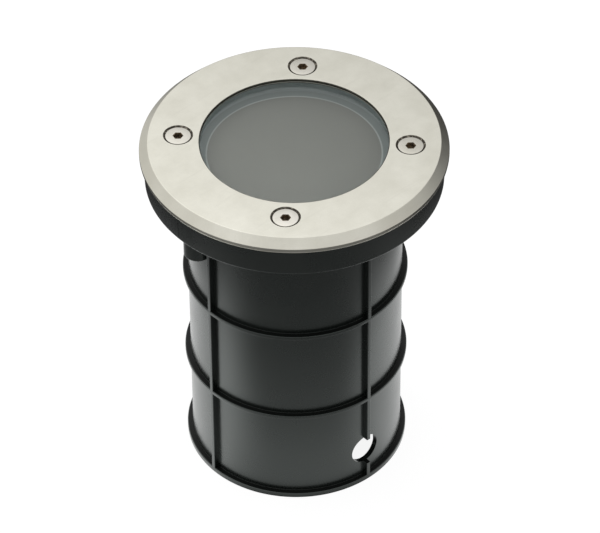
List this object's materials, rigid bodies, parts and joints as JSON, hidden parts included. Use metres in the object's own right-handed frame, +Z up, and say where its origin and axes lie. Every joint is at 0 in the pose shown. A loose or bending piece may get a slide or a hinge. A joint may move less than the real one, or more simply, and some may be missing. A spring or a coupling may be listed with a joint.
{
  "type": "in ground well light",
  "caption": "Round in-ground well light: steel trim ring over thick frosted glass, sealed lamp housing, ribbed black ground sleeve with a cable hole.",
  "frame": {"origin": "centre of the sleeve's foot", "axes": "+Z up along the sleeve; -Y is the side with the cable hole"},
  "size_m": [0.11, 0.11, 0.138],
  "materials": {
    "black_moulding": "satin mould texture",
    "stainless": "brushed",
    "screw_steel": "machined",
    "frosted_glass": "clear above, frosted underside",
    "black_rubber": "matt",
    "black_casting": "powder coat on die-cast aluminium",
    "zinc_plate": "zinc plated",
    "steatite": "glazed",
    "brass": "turned",
    "lamp_aluminium": "cast",
    "white_plastic": "gloss",
    "lamp_clear": "ribbed",
    "board_white": "matt",
    "chip_yellow": "matt",
    "natural_nylon": "satin",
    "wire_brown": "gloss",
    "wire_blue": "gloss",
    "wire_green": "gloss",
    "black_nylon": "satin"
  },
  "bodies": {
    "sleeve": {"ground_sleeve": "black_moulding"},
    "luminaire": {"lamp_housing": "black_casting", "flange_gasket": "black_rubber", "lamp_bracket": "zinc_plate", "bracket_screws": "zinc_plate", "lamp_holder": "steatite", "holder_screws": "zinc_plate", "holder_contacts": "brass", "terminal_block": "natural_nylon", "terminal_screws": "zinc_plate", "live_lead": "wire_brown", "neutral_lead": "wire_blue", "earth_lead": "wire_green", "earth_tag": "brass", "earth_screw": "zinc_plate", "gland_body": "black_nylon", "gland_seal": "black_rubber", "gland_washer": "black_rubber", "gland_locknut": "brass"},
    "lens": {"glass_lens": "frosted_glass", "lens_gasket": "black_rubber"},
    "cover": {"trim_ring": "stainless"},
    "screws": {"cover_screws": "screw_steel"},
    "lamp": {"lamp_shell": "lamp_aluminium", "lamp_base": "white_plastic", "lamp_pins": "brass", "lamp_front_lens": "lamp_clear", "led_board": "board_white", "led_chips": "chip_yellow"},
    "clamping_nut": {"gland_nut": "black_nylon"}
  },
  "joints": [
    {"name": "luminaire_lift", "type": "slide", "parent": "sleeve", "child": "luminaire", "axis": [0, 0, 1], "range_m": [0, 0.12]},
    {"name": "lens_lift", "type": "slide", "parent": "luminaire", "child": "lens", "axis": [0, 0, 1], "range_m": [0, 0.03]},
    {"name": "cover_lift", "type": "slide", "parent": "lens", "child": "cover", "axis": [0, 0, 1], "range_m": [0, 0.03]},
    {"name": "screw_removal", "type": "slide", "parent": "cover", "child": "screws", "axis": [0, 0, 1], "range_m": [0, 0.02]},
    {"name": "lamp_twist", "type": "hinge", "parent": "luminaire", "child": "lamp", "pos_m": [0, 0, 0.08], "axis": [0, 0, 1], "range_deg": [0, 30]},
    {"name": "gland_nut_turn", "type": "hinge", "parent": "luminaire", "child": "clamping_nut", "pos_m": [0, 0, 0.024], "axis": [0, 0, 1], "continuous": true}
  ]
}
